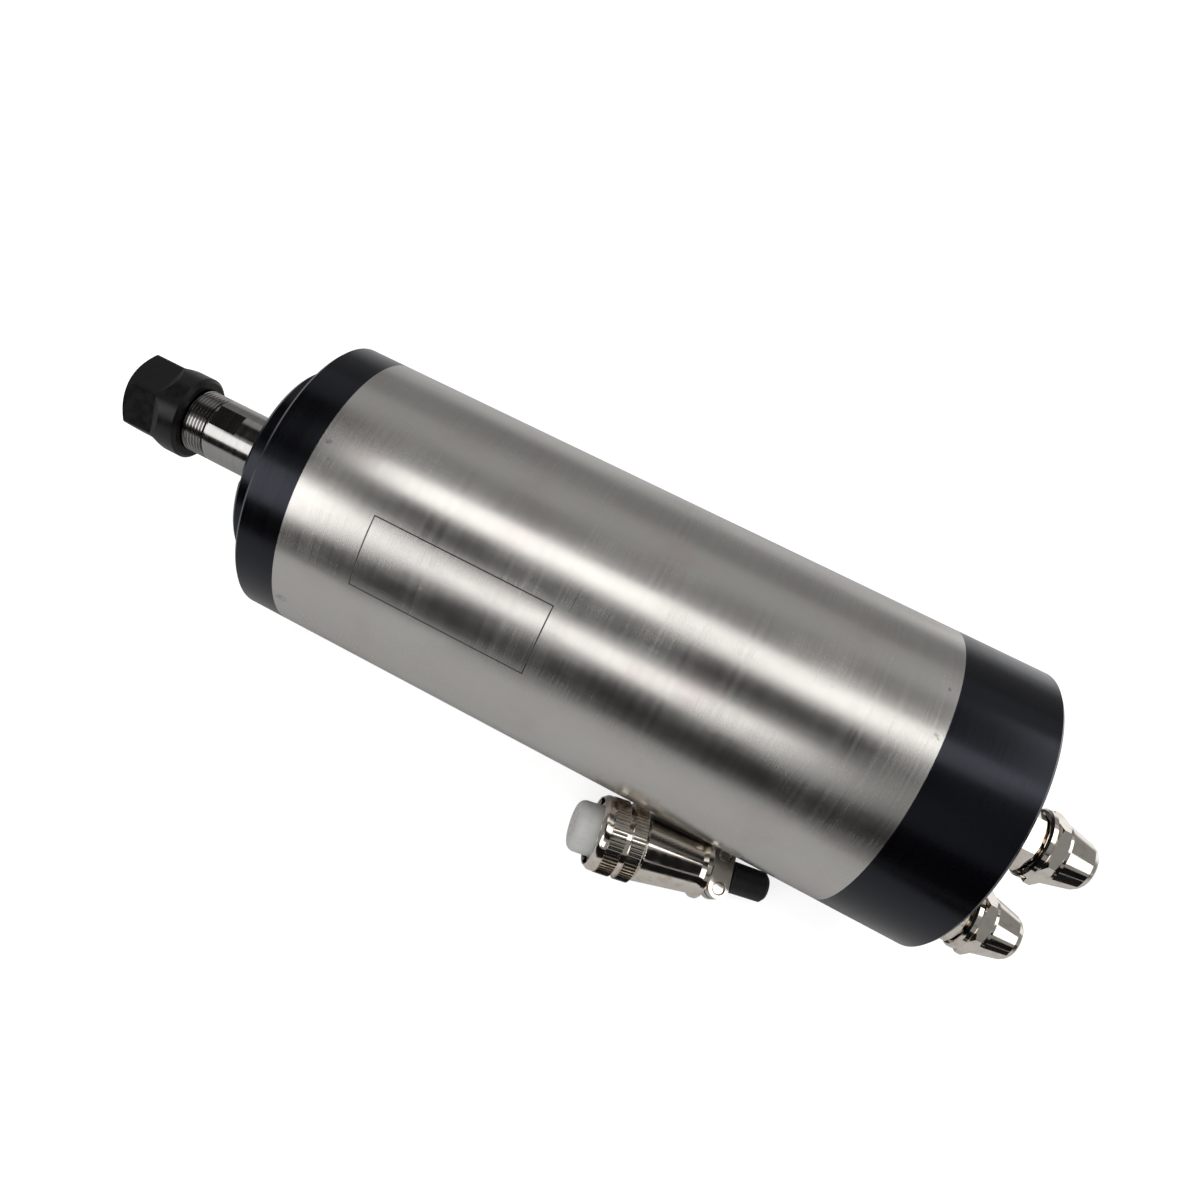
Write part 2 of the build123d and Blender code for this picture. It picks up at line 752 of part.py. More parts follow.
# ---------------------------------------------------------------- water fittings
def at_fitting(turn):
    return on_circle(fitting_circle_radius, turn) * Pos(cap_rear, 0, 0)


def fitting_body(turn):
    base_start = washer_thickness
    base_end = base_start + base_height
    neck_end = base_end + neck_length
    barb_end = neck_end + barb_length
    core = turned(
        (-fitting_thread_length, water_bore_radius), (-fitting_thread_length, fitting_thread_radius - 0.5),
        (-fitting_thread_length + 0.5, fitting_thread_radius - seat_gap),
        (base_end, fitting_thread_radius - seat_gap),
        (base_end, neck_radius), (neck_end, neck_radius), (neck_end, barb_radius - 0.5),
        (barb_end - 2.2, barb_radius - 0.5), (barb_end - 2.2, barb_radius), (barb_end, barb_radius - 0.8),
        (barb_end, water_bore_radius - 0.5),
        (base_end, water_bore_radius - 0.5), (base_end - 1, water_bore_radius),
    )
    base = hexagon(base_across_flats, base_start, base_end, base_turn) & rounded_blank(
        base_across_flats, base_start, base_end, 0.6
    )
    base -= rod(water_bore_radius, base_start - 1, base_end + 1)
    return at_fitting(turn) * (core + base)


def rounded_blank(across_flats, start, end, drop):
    """Chamfered round bar that takes the sharp ends off a hexagon's corners."""
    corner = across_flats / 2 / cos(radians(30))
    flat = across_flats / 2
    return turned(
        (start, 0), (start, flat + drop * 0.2), (start + drop, corner), (end - drop, corner),
        (end, flat + drop * 0.2), (end, 0),
    )


def fitting_washer(turn):
    washer = sleeve(washer_radius, fitting_thread_radius + 0.1, seat_gap, washer_thickness - seat_gap)
    return at_fitting(turn) * washer


def fitting_nut_start():
    return washer_thickness + base_height + fitting_nut_gap


def fitting_nut(turn):
    start = fitting_nut_start()
    ring_end = start + fitting_nut_ring_length
    hex_end = ring_end + fitting_nut_hex_length
    end = start + fitting_nut_length
    flat = fitting_nut_across_flats / 2
    corner = flat / cos(radians(30))
    grip = turned(
        (ring_end - 0.2, 0), (ring_end - 0.2, flat - 0.1), (ring_end, flat + 0.1), (ring_end + 0.6, corner),
        (hex_end - 1.0, corner), (hex_end, flat), (hex_end, 0),
    ) & hexagon(fitting_nut_across_flats, start, end, fitting_nut_turn)
    collar = turned(
        (start, 0), (start, fitting_nut_ring_radius - 0.5), (start + 0.5, fitting_nut_ring_radius),
        (ring_end - 0.5, fitting_nut_ring_radius), (ring_end, fitting_nut_ring_radius - 0.5), (ring_end, 0),
    )
    cone = turned(
        (hex_end - 0.2, 0), (hex_end - 0.2, flat - 0.3), (hex_end + 0.8, flat - 0.3),
        (end - fitting_nut_nose_round, fitting_nut_end_radius + 0.4),
        (end - 0.5, fitting_nut_end_radius - 0.3),
        (end, fitting_nut_end_radius - 0.9), (end, 0),
    )
    body = collar + grip + cone
    inside = thread_room_radius()
    nose = hose_radius
    nose_start = end - 3.4
    room = turned(
        (start - 1, 0), (start - 1, inside), (nose_start - 2.2, inside), (nose_start, nose),
        (end + 1, nose), (end + 1, 0),
    )
    return at_fitting(turn) * (body - room)


def thread_room_radius():
    return neck_radius + slide_gap


def fitting_ferrule(turn):
    """Tapered clamping ring pushed along by the nut."""
    end = fitting_nut_start() + fitting_nut_length - 3.4 - 0.1
    start = end - ferrule_length
    outer = thread_room_radius() - slide_gap * 2
    inner = barb_radius + 0.5
    slope = (thread_room_radius() - hose_radius) / 2.2
    ring = turned(
        (start, inner), (start, outer), (end - 2.2, outer), (end, outer - slope * 2.2), (end, inner),
    )
    return at_fitting(turn) * ring


# ---------------------------------------------------------------- panel socket
def at_socket():
    return on_circle(socket_circle_radius, socket_turn) * Pos(cap_rear, 0, 0)


def socket_inner_radius():
    return socket_radius - socket_wall


def socket_shell():
    reach = socket_reach
    inner = socket_inner_radius()
    tail = -rear_wall - socket_tail
    body = turned(
        (tail, inner), (tail, socket_radius), (0.02, socket_radius), (0.02, socket_flange_radius - 0.4),
        (0.42, socket_flange_radius), (socket_flange_thickness - 0.4, socket_flange_radius),
        (socket_flange_thickness, socket_flange_radius - 0.4), (socket_flange_thickness, socket_radius),
        (reach - 0.6, socket_radius), (reach, socket_radius - 0.6), (reach, inner),
    )
    key = block(reach - 6.0, reach - 0.5, -0.9, 0.9, inner - 0.9, inner + 0.5)
    return at_socket() * (body + key)


def socket_insulator():
    inner = socket_inner_radius() - seat_gap
    face = socket_reach - pin_recess - pin_reach
    disc = rod(inner, face - insulator_thickness, face)
    for cut in ring_of(rod(pin_radius + seat_gap, face - insulator_thickness - 1, face + 1), pin_circle_radius,
                       pin_count, 45):
        disc -= cut
    return at_socket() * disc


def socket_pins():
    face = socket_reach - pin_recess - pin_reach
    tail = face - insulator_thickness - pin_tail
    pin = turned(
        (tail, 0), (tail, pin_radius), (face + pin_reach - 0.5, pin_radius),
        (face + pin_reach, pin_radius - 0.4),
        (face + pin_reach, 0),
    )
    return at_socket() * group(ring_of(pin, pin_circle_radius, pin_count, 45))


def socket_nut():
    rear = -rear_wall - seat_gap
    front = rear - socket_nut_thickness
    nut = hexagon(socket_nut_across_flats, front, rear) - rod(socket_radius + seat_gap, front - 1, rear + 1)
    return at_socket() * nut


# ---------------------------------------------------------------- loose cable plug
def at_plug():
    return Pos(*plug_place) * Rot(0, 0, plug_yaw) * Rot(0, plug_pitch, 0) * Rot(plug_roll, 0, 0)


def plug_coupling_ring():
    band_two = ring_rear - (ring_length - ring_rim_length - ring_band_length - ring_groove)
    band_one_end = ring_front + ring_rim_length + ring_band_length
    root = ring_radius - ring_groove_drop
    lip = sleeve_radius + 0.2
    lip_front = ring_rear - ring_lip_length
    body = turned(
        (ring_front, ring_thread_radius), (ring_front, ring_rim_radius),
        (ring_front + 1.2, ring_radius - 0.3),
        (ring_front + ring_rim_length, ring_radius - 0.3), (ring_front + ring_rim_length, ring_radius),
        (band_one_end, ring_radius), (band_one_end, root), (band_two, root), (band_two, ring_radius),
        (ring_rear - 0.4, ring_radius), (ring_rear, ring_radius - 0.4), (ring_rear, lip), (lip_front, lip),
        (lip_front, ring_thread_radius),
    )
    return at_plug() * body


def plug_shell():
    bore = sleeve_radius - sleeve_wall
    collar = ring_thread_radius - 0.2
    inside_front = shell_front_radius - shell_wall
    inside_rear = shell_rear_radius - shell_wall
    start = ring_rear + 0.15
    lip_start = shell_rear - shell_lip_length
    body = turned(
        (sleeve_front, bore), (sleeve_front, sleeve_radius),
        (sleeve_collar_rear - collar_length, sleeve_radius),
        (sleeve_collar_rear - collar_length, collar),
        (sleeve_collar_rear, collar), (sleeve_collar_rear, sleeve_radius),
        (start, sleeve_radius), (start, shell_front_radius - 0.4), (start + 0.6, shell_front_radius),
        (lip_start - 1.2, shell_rear_radius), (lip_start, shell_lip_radius),
        (shell_rear - 0.5, shell_lip_radius),
        (shell_rear, shell_lip_radius - 0.5), (shell_rear, boot_hole_radius),
        (shell_rear - shell_rear_wall, boot_hole_radius),
        (lip_start - 1.5, inside_rear), (start + 2.0, inside_front), (start + 1.0, bore),
    )
    tail = sleeve(tail_radius, boot_hole_radius, shell_rear - 1, shell_rear + tail_length)
    clamp_start = shell_rear + clamp_setback
    lug = clamp_lug(clamp_start, clamp_start + clamp_width, -clamp_lug_depth, -clamp_split)
    tail += lug
    tail -= rod(boot_hole_radius, shell_rear - 2, shell_rear + tail_length + 1)
    wide = 2 * ring_radius
    tail -= block(shell_rear + 0.3, shell_rear + tail_length + 1, -wide, wide, -clamp_split, wide)
    for side in (-1, 1):
        hole = Pos(clamp_screw_x(), side * clamp_screw_offset, -clamp_split) * Cylinder(
            clamp_screw_radius + seat_gap, 2 * clamp_lug_depth
        )
        tail -= hole
    return at_plug() * (body + tail)


def clamp_screw_x():
    return shell_rear + clamp_setback + clamp_width / 2


def clamp_lug(x0, x1, z0, z1):
    """Cross bar with round ends that carries both clamp screws."""
    middle = (x0 + x1) / 2
    bar = block(x0, x1, -clamp_screw_offset, clamp_screw_offset, z0, z1)
    for side in (-1, 1):
        end = Pos(middle, side * clamp_screw_offset, (z0 + z1) / 2) * Cylinder((x1 - x0) / 2, z1 - z0)
        bar += end
    return bar


def plug_cable_clamp():
    x0 = shell_rear + clamp_setback
    x1 = x0 + clamp_width
    bar = clamp_lug(x0, x1, clamp_split, clamp_top)
    saddle = bar - rod(boot_hole_radius, x0 - 1, x1 + 1)
    seat = clamp_top - clamp_head_recess
    for side in (-1, 1):
        over = Pos(clamp_screw_x(), side * clamp_screw_offset, seat + clamp_top / 2) * Cylinder(
            clamp_head_radius + screw_gap, clamp_top
        )
        hole = Pos(clamp_screw_x(), side * clamp_screw_offset, 0) * Cylinder(
            clamp_screw_radius + screw_gap, 4 * clamp_top
        )
        saddle -= over + hole
    return at_plug() * saddle


def plug_clamp_screws():
    seat = clamp_top - clamp_head_recess + seat_gap
    head = Pos(0, 0, seat + clamp_head_height / 2) * Cylinder(clamp_head_radius, clamp_head_height)
    head = fillet(head.edges().group_by(Axis.Z)[-1], 0.3)
    shank_length = seat + clamp_lug_depth - 0.5
    shank = Pos(0, 0, seat - shank_length / 2) * Cylinder(clamp_screw_radius, shank_length)
    screw = head + shank
    return at_plug() * group(
        [Pos(clamp_screw_x(), side * clamp_screw_offset, 0) * screw for side in (-1, 1)]
    )


def cable_boot():
    start = shell_rear - shell_rear_wall
    end = start + boot_length
    neck_end = shell_rear + tail_length
    body = turned(
        (start, boot_bore_radius), (start, boot_neck_radius), (neck_end, boot_neck_radius),
        (neck_end, boot_radius - 0.4), (neck_end + 0.4, boot_radius), (end - 1.0, boot_end_radius),
        (end, boot_end_radius - 1.0), (end, boot_bore_radius),
    )
    return at_plug() * body


def plug_insert():
    rear = ring_rear
    front = rear - insert_thickness
    disc = rod(sleeve_radius - sleeve_wall - seat_gap, front, rear)
    hole = rod(contact_radius + seat_gap, front - 1, rear + 1)
    for cut in ring_of(hole, pin_circle_radius, pin_count, 45):
        disc -= cut
    return at_plug() * disc


def plug_contacts():
    front = ring_rear - insert_thickness + 0.3
    rear = ring_rear + 4.0
    contact = rod(contact_radius, front, rear) - rod(pin_radius + 0.1, front - 1, front + 6.0)
    contact -= rod(pin_radius + 0.1, rear - 2.5, rear + 1)
    return at_plug() * group(ring_of(contact, pin_circle_radius, pin_count, 45))


def plug_dust_cap():
    skirt_radius = sleeve_radius - sleeve_wall - slide_gap
    end = ring_front - cap_reach
    rear = sleeve_front + cap_skirt
    outline = make_face(
        Polyline(
            (end, 0), (end, cap_radius), (sleeve_front, cap_radius), (sleeve_front + 0.3, skirt_radius),
            (rear, skirt_radius), (rear, skirt_radius - cap_wall), (end + cap_wall, cap_radius - cap_wall),
            (end + cap_wall, 0), close=True,
        )
    )
    corner = outline.vertices().sort_by(Axis.X)
    rim = [v for v in corner if abs(v.X - end) < 1e-6 and v.Y > 1]
    outline = fillet(rim, cap_end_round)
    return at_plug() * revolve(outline, Axis.X, 360)


# ---------------------------------------------------------------- assembly
def build_nodes():
    nodes = {
        "outer_tube": outer_tube(),
        "front_cap": front_cap(),
        "front_cover": front_cover(),
        "cover_screws": cover_screws(),
        "rear_bearing_seat": rear_bearing_seat(),
        "rear_cap": rear_cap(),
        "rear_cap_screws": rear_cap_screws(),
        "housing_o_rings": housing_o_rings(),
        "water_jacket": water_jacket(),
        "jacket_gasket": jacket_gasket(),
        "boss_o_rings": boss_o_rings(),
        "stator_core": stator_core(),
        "stator_windings": stator_windings(),
        "rotor_core": rotor_core(),
        "rotor_cage": rotor_cage(),
        "spindle_shaft": spindle_shaft(),
        "bearing_locknut": bearing_locknut(),
        "rear_circlip": rear_circlip(),
        "preload_spring": preload_spring(),
        "collet": collet(),
        "collet_nut": collet_nut(),
        "socket_shell": socket_shell(),
        "socket_insulator": socket_insulator(),
        "socket_pins": socket_pins(),
        "socket_nut": socket_nut(),
        "plug_coupling_ring": plug_coupling_ring(),
        "plug_shell": plug_shell(),
        "plug_cable_clamp": plug_cable_clamp(),
        "plug_clamp_screws": plug_clamp_screws(),
        "cable_boot": cable_boot(),
        "plug_insert": plug_insert(),
        "plug_contacts": plug_contacts(),
        "plug_dust_cap": plug_dust_cap(),
    }
    inner, outer, balls, cages = [], [], [], []
    for k in range(front_bearing_count):
        parts = bearing_parts(front_bearing, front_bearings_front + k * front_bearing[2])
        inner.append(parts[0])
        outer.append(parts[1])
        balls += parts[2]
        cages.append(parts[3])
    nodes["front_bearing_inner_rings"] = group(inner)
    nodes["front_bearing_outer_rings"] = group(outer)
    nodes["front_bearing_balls"] = group(balls)
    nodes["front_bearing_cages"] = group(cages)
    inner_ring, outer_ring, balls, cage = bearing_parts(rear_bearing, rear_bearing_front)
    nodes["rear_bearing_inner_ring"] = inner_ring
    nodes["rear_bearing_outer_ring"] = outer_ring
    nodes["rear_bearing_balls"] = group(balls)
    nodes["rear_bearing_cage"] = cage
    for number, turn in enumerate(fitting_turns, start=1):
        nodes[f"water_fitting_{number}"] = fitting_body(turn)
        nodes[f"fitting_nut_{number}"] = fitting_nut(turn)
        nodes[f"fitting_ferrule_{number}"] = fitting_ferrule(turn)
    nodes["fitting_washers"] = group([fitting_washer(turn) for turn in fitting_turns])
    return nodes


for name, shape in build_nodes().items():
    export_step(shape, f"parts/{name}.step")
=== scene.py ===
import json
from math import cos, pi, radians, sin, tau

import bmesh
import bpy
from mathutils import Euler, Matrix, Vector


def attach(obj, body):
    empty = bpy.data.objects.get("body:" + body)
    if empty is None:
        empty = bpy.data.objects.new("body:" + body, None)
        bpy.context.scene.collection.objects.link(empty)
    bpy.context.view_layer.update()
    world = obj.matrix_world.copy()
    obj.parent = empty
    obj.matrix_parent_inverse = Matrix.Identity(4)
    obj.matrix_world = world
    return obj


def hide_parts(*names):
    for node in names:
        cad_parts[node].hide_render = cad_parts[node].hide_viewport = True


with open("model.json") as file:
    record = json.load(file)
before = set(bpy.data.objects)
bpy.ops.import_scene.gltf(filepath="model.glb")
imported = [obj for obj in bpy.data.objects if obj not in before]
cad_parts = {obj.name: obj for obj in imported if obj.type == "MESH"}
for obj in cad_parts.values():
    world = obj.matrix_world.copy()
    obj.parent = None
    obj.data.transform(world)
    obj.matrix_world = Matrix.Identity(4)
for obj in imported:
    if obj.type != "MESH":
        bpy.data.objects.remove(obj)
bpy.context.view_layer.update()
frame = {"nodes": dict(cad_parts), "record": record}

# ---------------------------------------------------------------- sizes, in metres
MM = 0.001
FLOOR = -40.0 * MM

# Body: the spindle axis is X, tool end at -X.
TUBE_RADIUS = 40.0 * MM

# Nose thread
NUT_REAR = -134.2 * MM
THREAD_END = -126.5 * MM
THREAD_ROOT = 8.9 * MM
THREAD_CREST = 9.48 * MM
THREAD_PITCH = 1.0 * MM
THREAD_START_GAP = 0.2 * THREAD_PITCH   # first turn behind the nut
THREAD_SHORT = 0.6 * THREAD_PITCH       # thread shorter than its room, by this in all
THREAD_FOOT = 0.48                      # half width at the foot, as a share of the pitch
THREAD_TOP = 0.1                        # half width at the crest, as a share of the pitch
THREAD_SINK = 0.25                      # foot inside the rod, as a share of the depth
THREAD_STEPS = 96                       # steps in each turn

# Wrench flats behind the thread: where their duller finish and painted shade end, and how they fade in and
# out
FLATS_END = -117.9 * MM
FLATS_FADE = 0.4 * MM
FLATS_START_FADE = 0.1 * MM
FLATS_DEPTH = (0.12 * MM, 0.04 * MM)    # inside the round: fully dull and painted dark, and not yet

# Engraved frame on the tube, turned from +Z towards -Y
PLATE_FRONT, PLATE_REAR = -60.0 * MM, -10.9 * MM
PLATE_TOP, PLATE_BOTTOM = radians(30.4), radians(57.8)
PLATE_LINE = 0.22 * MM
PLATE_LINE_CORE = 0.45                  # share of the line's half width at full depth

# Iron sheets of the two stacks
SHEET_THICKNESS = 0.5 * MM

# Small scuffs on the tube: x, turn and size
SCUFFS = (
    (-79.5 * MM, radians(14), 1.3 * MM),
    (80.0 * MM, radians(12), 0.9 * MM),
    (-79.0 * MM, radians(82), 1.6 * MM),
    (79.0 * MM, radians(-6), 0.5 * MM),
    (-77.0 * MM, radians(20), 0.5 * MM),
)
SCUFF_REACH = 1.3                       # furthest reach of the ragged edge, in sizes
SCUFF_FADE = 0.3                        # half width of the edge's fade, in sizes

# Turned grain: the broad lines' scales as shares of the fine ones', and what each adds
BROAD_ALONG, BROAD_AROUND = 0.22, 0.7
FINE_SHARE, BROAD_SHARE = 0.65, 0.35

# Loose plug, along its own X axis from the middle of the coupling ring
PLUG_PLACE = Vector((29.6, -44.2, -28.33)) * MM
PLUG_YAW, PLUG_PITCH, PLUG_ROLL = radians(11.6), radians(5.7), radians(8.0)
RING_FRONT, RING_REAR = -6.55 * MM, 6.55 * MM
RING_BORE = 9.6 * MM
RING_RIM = 9.9 * MM
RING_CREST = 11.0 * MM
RING_BAND = 10.55 * MM
RING_GROOVE = 10.1 * MM
BAND_ONE = (-3.35 * MM, 0.85 * MM)
BAND_TWO = (2.45 * MM, 6.25 * MM)
RING_LIP = 8.9 * MM
RING_LIP_DEPTH = 2.4 * MM
RING_EDGE = 0.25 * MM                   # softened edges
RING_WALL_RUN = 0.1 * MM                # slope of the groove's walls
RING_BEVEL = 1.2 * MM                   # steep part of the front slope, along the axis
RING_HEEL = RING_CREST - 0.35 * MM      # radius where the steep part ends
RING_SLOPE_END = RING_FRONT + 1.6 * MM
RING_SHOULDER = RING_CREST - 0.2 * MM   # plain radius in front of the first band
RING_STEPS = 96
KNURL_COUNT = 60
RIDGE_SIDES = 6

# Meshes
SHARP_EDGE = radians(35)                # edges sharper than this stay crisp
WELD_GAP = 1e-7

# Room
FLOOR_HALF = 3.0
FLOOR_LIFT = 0.75
WORLD_LEVEL = 0.25
# Painted reflection: a floor patch that glows only for mirror rays
PATCH_LIFT = 0.5
PATCH_RISE, PATCH_FALL = (0.02, 0.1), (0.22, 0.4)     # across the floor, on the +Y side
PATCH_ALONG = (0.08, 0.2)
PATCH_FAR_LEVEL, PATCH_FRONT_LEVEL = 0.2, 0.15
CARD_GREY = 0.02

# Dark cards along the spindle: name, turns from +Z towards -Y in degrees, distance, start and end
CARDS = (
    ("wall_card", 60, 91, 1.5, -1.6, 2.8),
    ("camera_card", 13, 33, 0.5, -0.22, 0.22),
    ("nose_card", -30, 20, 0.9, -0.85, -0.42),
)
PLUG_CARD_X, PLUG_CARD_Y, PLUG_CARD_Z = 0.3, (-0.3, -0.07), (0.16, 0.36)
FLOOR_CARD_X, FLOOR_CARD_Y = (0.2, 1.2), (-0.07, -0.75)
FLOOR_CARD_RISE = 1.0 * MM

# Soft boxes: name, turn from +Z towards -Y in degrees, distance, middle along X, length, width, radiance
BOXES = (
    ("Overhead box", 0, 1.0, 0.04, 0.92, 0.3, 1.8),
    ("Near box", 47, 1.0, -0.09, 0.68, 0.27, 1.6),
    ("Nose box", 48, 1.0, -0.7, 0.54, 0.58, 1.9),
    ("Side box", -22, 1.0, 0.7, 0.42, 0.85, 1.8),
    ("Tail box", 17, 1.0, 1.57, 0.5, 0.95, 1.8),
    ("Far box", -48, 1.1, 0.0, 1.8, 0.5, 0.18),
)

# Camera
CAMERA_PLACE = Vector((12.605, -120.788, 227.169)) * MM
CAMERA_TURN = Euler((radians(25.4151), radians(-5.0546), radians(27.7311)), "XYZ")
CAMERA_LENS = 27.624
CAMERA_SHIFT = (0.0702, 0.0293)
CAMERA_CLIP = (0.01, 20.0)


# ---------------------------------------------------------------- finishes
class Finish:
    """A material at the bench: its shader, and short ways to add what its surface shows."""

    def __init__(self, name, colour, metallic, roughness, **sockets):
        self.material = bpy.data.materials.new(name)
        self.material.use_nodes = True
        self.tree = self.material.node_tree
        self.shader = self.tree.nodes["Principled BSDF"]
        self.shader.inputs["Base Color"].default_value = (*colour, 1)
        self.shader.inputs["Metallic"].default_value = metallic
        self.shader.inputs["Roughness"].default_value = roughness
        for socket, value in sockets.items():
            self.shader.inputs[socket.replace("_", " ")].default_value = value
        self.place = self.node("ShaderNodeTexCoord").outputs["Object"]
        self.normal = None

    def node(self, kind, **settings):
        made = self.tree.nodes.new(kind)
        for setting, value in settings.items():
            setattr(made, setting, value)
        return made

    def feed(self, socket, value):
        """A number or a colour goes on the socket itself, and an output is linked to it."""
        if isinstance(value, (int, float)):
            socket.default_value = value
        elif isinstance(value, tuple):
            socket.default_value = (*value, 1)
        else:
            self.tree.links.new(value, socket)

    def math(self, operation, a, b=0.0):
        made = self.node("ShaderNodeMath", operation=operation)
        for socket, value in zip(made.inputs, (a, b)):
            self.feed(socket, value)
        return made.outputs[0]

    def stretched(self, factors, at=(0, 0, 0)):
        """Object coordinates with each axis scaled, so that a pattern runs long or short along it."""
        made = self.node("ShaderNodeMapping")
        made.inputs["Scale"].default_value = factors
        made.inputs["Location"].default_value = at
        self.feed(made.inputs["Vector"], self.place)
        return made.outputs[0]

    def noise(self, place, detail):
        made = self.node("ShaderNodeTexNoise")
        made.inputs["Scale"].default_value = 1.0
        made.inputs["Detail"].default_value = detail
        self.feed(made.inputs["Vector"], place)
        return made.outputs["Fac"]

    def between(self, value, low, high, start, end):
        """The value's stretch from start to end, laid over low to high."""
        made = self.node("ShaderNodeMapRange", interpolation_type="SMOOTHSTEP")
        for socket, given in zip(made.inputs, (value, start, end, low, high)):
            self.feed(socket, given)
        return made.outputs[0]

    def blend(self, factor, first, second):
        made = self.node("ShaderNodeMix", data_type="RGBA")
        self.feed(made.inputs["Factor"], factor)
        self.feed(made.inputs[6], first)
        self.feed(made.inputs[7], second)
        return made.outputs[2]

    def colour(self, value):
        self.feed(self.shader.inputs["Base Color"], value)

    def colour_over(self, value, start, end, first, second):
        """Colour that goes from the first to the second while the value goes from start to end."""
        self.colour(self.blend(self.between(value, 0, 1, start, end), first, second))

    def rough(self, value):
        self.feed(self.shader.inputs["Roughness"], value)

    def bump(self, height, strength, depth):
        made = self.node("ShaderNodeBump")
        made.inputs["Strength"].default_value = strength
        made.inputs["Distance"].default_value = depth
        self.feed(made.inputs["Height"], height)
        if self.normal is not None:
            self.feed(made.inputs["Normal"], self.normal)
        self.normal = made.outputs["Normal"]
        self.feed(self.shader.inputs["Normal"], self.normal)

    def split(self):
        made = self.node("ShaderNodeSeparateXYZ")
        self.feed(made.inputs[0], self.place)
        return made.outputs


def turned_grain(finish, along, around=18.0):
    """Fine lathe or brush lines that run round the X axis."""
    fine = finish.noise(finish.stretched((along, around, around)), detail=2.0)
    wide = (along * BROAD_ALONG, around * BROAD_AROUND, around * BROAD_AROUND)
    broad = finish.noise(finish.stretched(wide, at=(3, 1, 2)), detail=2.0)
    shares = (finish.math("MULTIPLY", fine, FINE_SHARE), finish.math("MULTIPLY", broad, BROAD_SHARE))
    return finish.math("ADD", *shares)


def engraved_frame(finish):
    """1 on the thin rectangle that is engraved on the tube, 0 elsewhere."""
    x, y, z = finish.split()
    turn = finish.math("ARCTAN2", finish.math("MULTIPLY", y, -1.0), z)
    middle_x, half_x = (PLATE_FRONT + PLATE_REAR) / 2, (PLATE_REAR - PLATE_FRONT) / 2
    middle_turn, half_turn = (PLATE_TOP + PLATE_BOTTOM) / 2, (PLATE_BOTTOM - PLATE_TOP) / 2
    across = finish.math("SUBTRACT", finish.math("ABSOLUTE", finish.math("SUBTRACT", x, middle_x)), half_x)
    round_it = finish.math("ABSOLUTE", finish.math("SUBTRACT", turn, middle_turn))
    round_it = finish.math("MULTIPLY", finish.math("SUBTRACT", round_it, half_turn), TUBE_RADIUS)
    off_line = finish.math("ABSOLUTE", finish.math("MAXIMUM", across, round_it))
    return finish.between(off_line, 1.0, 0.0, PLATE_LINE * PLATE_LINE_CORE, PLATE_LINE)


def scuffs(finish, spots):
    """1 inside small dark scuffs, each given by its x, turn and size."""
    ragged = finish.noise(finish.stretched((700, 1500, 1500)), detail=4.0)
    total = 0.0
    for x, turn, size in spots:
        near = finish.node("ShaderNodeVectorMath", operation="DISTANCE")
        near.inputs[1].default_value = (x, -TUBE_RADIUS * sin(turn), TUBE_RADIUS * cos(turn))
        finish.feed(near.inputs[0], finish.place)
        reach = finish.math("MULTIPLY", finish.between(ragged, 0, 1, 0.35, 0.7), size * SCUFF_REACH)
        past_edge = finish.math("SUBTRACT", near.outputs["Value"], reach)
        spot = finish.between(past_edge, 1, 0, -SCUFF_FADE * size, SCUFF_FADE * size)
        total = finish.math("MAXIMUM", spot, total)
    return total


def brushed_tube():
    finish = Finish("Brushed stainless tube", (0.6, 0.58, 0.55), 1.0, 0.24, Anisotropic=0.45)
    grain = turned_grain(finish, 5200.0)
    cloud = finish.noise(finish.stretched((34, 50, 50)), detail=3.0)
    warm = finish.noise(finish.stretched((60, 75, 75), at=(5, 2, 1)), detail=3.0)
    dull = finish.noise(finish.stretched((22, 70, 70), at=(1, 6, 3)), detail=4.0)
    base = finish.blend(finish.between(grain, 0, 1, 0.3, 0.7), (0.585, 0.565, 0.535), (0.61, 0.59, 0.56))
    base = finish.blend(finish.between(warm, 0, 0.5, 0.5, 0.72), base, (0.56, 0.49, 0.48))
    base = finish.blend(finish.between(cloud, 0, 0.4, 0.45, 0.8), base, (0.68, 0.67, 0.64))
    spots = scuffs(finish, SCUFFS)
    base = finish.blend(finish.math("MULTIPLY", spots, 0.5), base, (0.22, 0.2, 0.18))
    line = engraved_frame(finish)
    finish.colour(finish.blend(line, base, (0.09, 0.085, 0.08)))
    fine_rough = finish.between(grain, -0.03, 0.03, 0.25, 0.75)
    broad_rough = finish.between(dull, 0.2, 0.29, 0.35, 0.7)
    rough = finish.math("ADD", fine_rough, broad_rough)
    finish.rough(finish.math("MAXIMUM", rough, finish.math("MULTIPLY", line, 0.7)))
    finish.bump(grain, 0.025, 0.00001)
    tangent = finish.node("ShaderNodeTangent", direction_type="RADIAL", axis="X")
    finish.feed(finish.shader.inputs["Tangent"], tangent.outputs[0])
    return finish.material


def black_anodised():
    finish = Finish("Black anodised aluminium", (0.002, 0.002, 0.003), 0.0, 0.3, Specular_IOR_Level=0.38)
    grain = turned_grain(finish, 2600.0)
    speck = finish.noise(finish.stretched((2200, 2200, 2200)), detail=1.0)
    finish.shader.inputs["Specular Tint"].default_value = (0.78, 0.82, 1.0, 1)
    finish.colour_over(speck, 0.35, 0.75, (0.001, 0.001, 0.0015), (0.003, 0.003, 0.004))
    finish.rough(finish.between(grain, 0.17, 0.24, 0.25, 0.75))
    finish.bump(grain, 0.06, 0.00002)
    finish.bump(speck, 0.06, 0.00002)
    return finish.material


